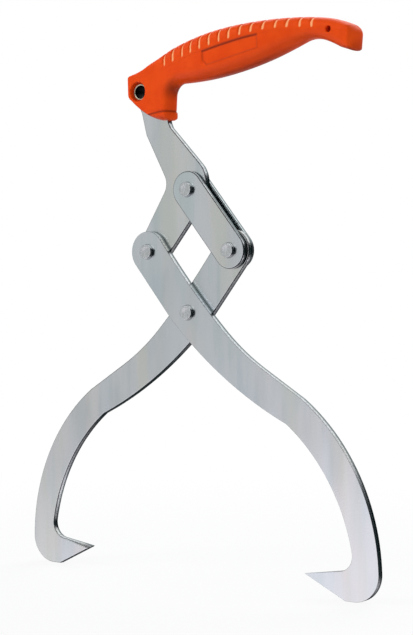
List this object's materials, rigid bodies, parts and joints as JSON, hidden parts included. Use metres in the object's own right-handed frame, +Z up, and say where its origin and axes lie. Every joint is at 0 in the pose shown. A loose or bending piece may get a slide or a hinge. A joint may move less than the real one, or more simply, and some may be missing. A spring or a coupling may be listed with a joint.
{
  "type": "log tongs",
  "caption": "Hand tongs for lifting logs: hooked claw arms on a riveted parallelogram linkage close under load, below a ribbed moulded pistol grip with a hanging eye.",
  "frame": {"origin": "on the axis of the hanging eye's bore, in the middle of the upper plate's thickness", "axes": "+X along the grip towards its nose, +Y from the front face through the tongs, +Z up from the claws to the grip"},
  "size_m": [0.321, 0.024, 0.4013],
  "materials": {
    "grip_plastic": "orange injection-moulded plastic, satin gloss, fine moulding texture",
    "plated_steel": "blanked steel plate with bright zinc plating, faint blue and green tints, cut edges darker",
    "rivet_steel": "turned and closed steel rivets, bright zinc plating, faint turning rings",
    "eyelet_metal": "plated sheet-metal eyelet, grey-gold, rolled flanges"
  },
  "bodies": {
    "frame": {"grip": "grip_plastic", "upper_plate": "plated_steel", "eyelet": "eyelet_metal", "top_rivet": "rivet_steel", "side_rivet_left": "rivet_steel"},
    "links": {"front_link": "plated_steel", "rear_link": "plated_steel", "side_rivet_right": "rivet_steel"},
    "right_claw": {"right_arm": "plated_steel", "crossing_rivet": "rivet_steel"},
    "left_claw": {"left_arm": "plated_steel"}
  },
  "joints": [
    {"name": "right_arm_turn", "type": "hinge", "parent": "frame", "child": "right_claw", "pos_m": [0.00775, 0, -0.11843], "axis": [0, 1, 0], "range_deg": [-65, 48]},
    {"name": "links_turn", "type": "hinge", "parent": "frame", "child": "links", "pos_m": [0.0448, 0, -0.0738], "axis": [0, 1, 0], "range_deg": [-65, 48]},
    {"name": "left_arm_turn", "type": "hinge", "parent": "links", "child": "left_claw", "pos_m": [0.08185, 0, -0.11843], "axis": [0, 1, 0], "range_deg": [-48, 65]}
  ],
  "couplings": [
    {"joint": "links_turn", "follows": "right_arm_turn", "ratio": 1},
    {"joint": "left_arm_turn", "follows": "right_arm_turn", "ratio": -1}
  ]
}
